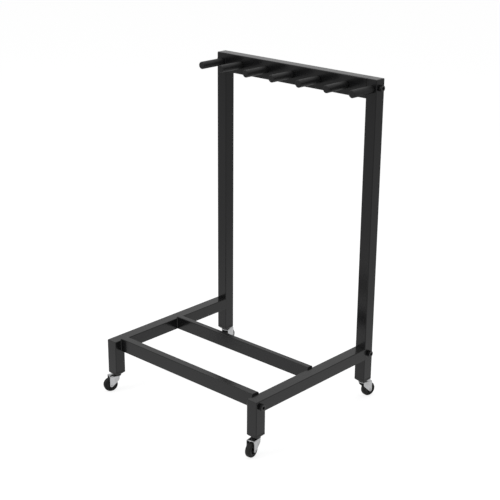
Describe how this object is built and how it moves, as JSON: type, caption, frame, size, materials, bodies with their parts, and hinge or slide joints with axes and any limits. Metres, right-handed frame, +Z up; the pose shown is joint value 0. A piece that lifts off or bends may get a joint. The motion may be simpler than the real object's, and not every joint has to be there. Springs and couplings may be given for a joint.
{
  "type": "racket storage cart",
  "caption": "Small rolling stand of black square tube, with a tall open back, a row of pegs along its top crossbar, low rails across its base and swivel casters.",
  "frame": {"origin": "on the floor, midway between the side frames and midway between the front legs' front faces and the uprights' rear faces", "axes": "+Z up, -Y towards the front, to which the pegs point, and +X to the right for someone who stands before it"},
  "size_m": [0.4496, 0.404, 0.698],
  "materials": {
    "powder_coat": "gloss",
    "peg_plastic": "gloss",
    "bolt_steel": "satin",
    "plug_plastic": "matte",
    "block_steel": "satin",
    "zinc": "satin",
    "hub_plastic": "satin",
    "tyre_rubber": "matte"
  },
  "bodies": {
    "root": {"left_front_leg": "powder_coat", "right_front_leg": "powder_coat", "left_upright": "powder_coat", "right_upright": "powder_coat", "left_side_rail": "powder_coat", "right_side_rail": "powder_coat", "front_rail": "powder_coat", "middle_rail": "powder_coat", "top_crossbar": "powder_coat", "front_rail_left_plug": "plug_plastic", "front_rail_right_plug": "plug_plastic", "middle_rail_left_plug": "plug_plastic", "middle_rail_right_plug": "plug_plastic", "peg_1": "peg_plastic", "peg_2": "peg_plastic", "peg_3": "peg_plastic", "peg_4": "peg_plastic", "peg_5": "peg_plastic", "peg_6": "peg_plastic", "peg_7": "peg_plastic", "left_crossbar_insert": "block_steel", "right_crossbar_insert": "block_steel", "left_front_block": "block_steel", "right_front_block": "block_steel", "left_rear_block": "block_steel", "right_rear_block": "block_steel", "left_front_bolt": "bolt_steel", "right_front_bolt": "bolt_steel", "left_rear_bolt": "bolt_steel", "right_rear_bolt": "bolt_steel", "left_crossbar_bolt": "bolt_steel", "right_crossbar_bolt": "bolt_steel", "front_left_socket": "plug_plastic", "front_right_socket": "plug_plastic", "rear_right_socket": "plug_plastic", "rear_left_socket": "plug_plastic", "front_left_stem": "zinc", "front_right_stem": "zinc", "rear_right_stem": "zinc", "rear_left_stem": "zinc"},
    "front_left_caster": {"front_left_fork": "zinc", "front_left_bearing": "zinc", "front_left_axle": "zinc"},
    "front_right_caster": {"front_right_fork": "zinc", "front_right_bearing": "zinc", "front_right_axle": "zinc"},
    "rear_right_caster": {"rear_right_fork": "zinc", "rear_right_bearing": "zinc", "rear_right_axle": "zinc"},
    "rear_left_caster": {"rear_left_fork": "zinc", "rear_left_bearing": "zinc", "rear_left_axle": "zinc"},
    "front_left_wheel": {"front_left_hub": "hub_plastic", "front_left_tyre": "tyre_rubber"},
    "front_right_wheel": {"front_right_hub": "hub_plastic", "front_right_tyre": "tyre_rubber"},
    "rear_right_wheel": {"rear_right_hub": "hub_plastic", "rear_right_tyre": "tyre_rubber"},
    "rear_left_wheel": {"rear_left_hub": "hub_plastic", "rear_left_tyre": "tyre_rubber"}
  },
  "joints": [
    {"name": "front_left_swivel", "type": "hinge", "parent": "root", "child": "front_left_caster", "pos_m": [-0.205, -0.171, 0.036], "axis": [0, 0, 1], "continuous": true},
    {"name": "front_right_swivel", "type": "hinge", "parent": "root", "child": "front_right_caster", "pos_m": [0.205, -0.171, 0.036], "axis": [0, 0, 1], "continuous": true},
    {"name": "rear_right_swivel", "type": "hinge", "parent": "root", "child": "rear_right_caster", "pos_m": [0.205, 0.171, 0.036], "axis": [0, 0, 1], "continuous": true},
    {"name": "rear_left_swivel", "type": "hinge", "parent": "root", "child": "rear_left_caster", "pos_m": [-0.205, 0.171, 0.036], "axis": [0, 0, 1], "continuous": true},
    {"name": "front_left_roll", "type": "hinge", "parent": "front_left_caster", "child": "front_left_wheel", "pos_m": [-0.2113, -0.18516, 0.0155], "axis": [0.9135, -0.4067, 0], "continuous": true},
    {"name": "front_right_roll", "type": "hinge", "parent": "front_right_caster", "child": "front_right_wheel", "pos_m": [0.20742, -0.18631, 0.0155], "axis": [0.9877, 0.1564, 0], "continuous": true},
    {"name": "rear_right_roll", "type": "hinge", "parent": "rear_right_caster", "child": "rear_right_wheel", "pos_m": [0.20875, 0.18604, 0.0155], "axis": [-0.9703, 0.2419, 0], "continuous": true},
    {"name": "rear_left_roll", "type": "hinge", "parent": "rear_left_caster", "child": "rear_left_wheel", "pos_m": [-0.20742, 0.18631, 0.0155], "axis": [-0.9877, -0.1564, 0], "continuous": true}
  ]
}
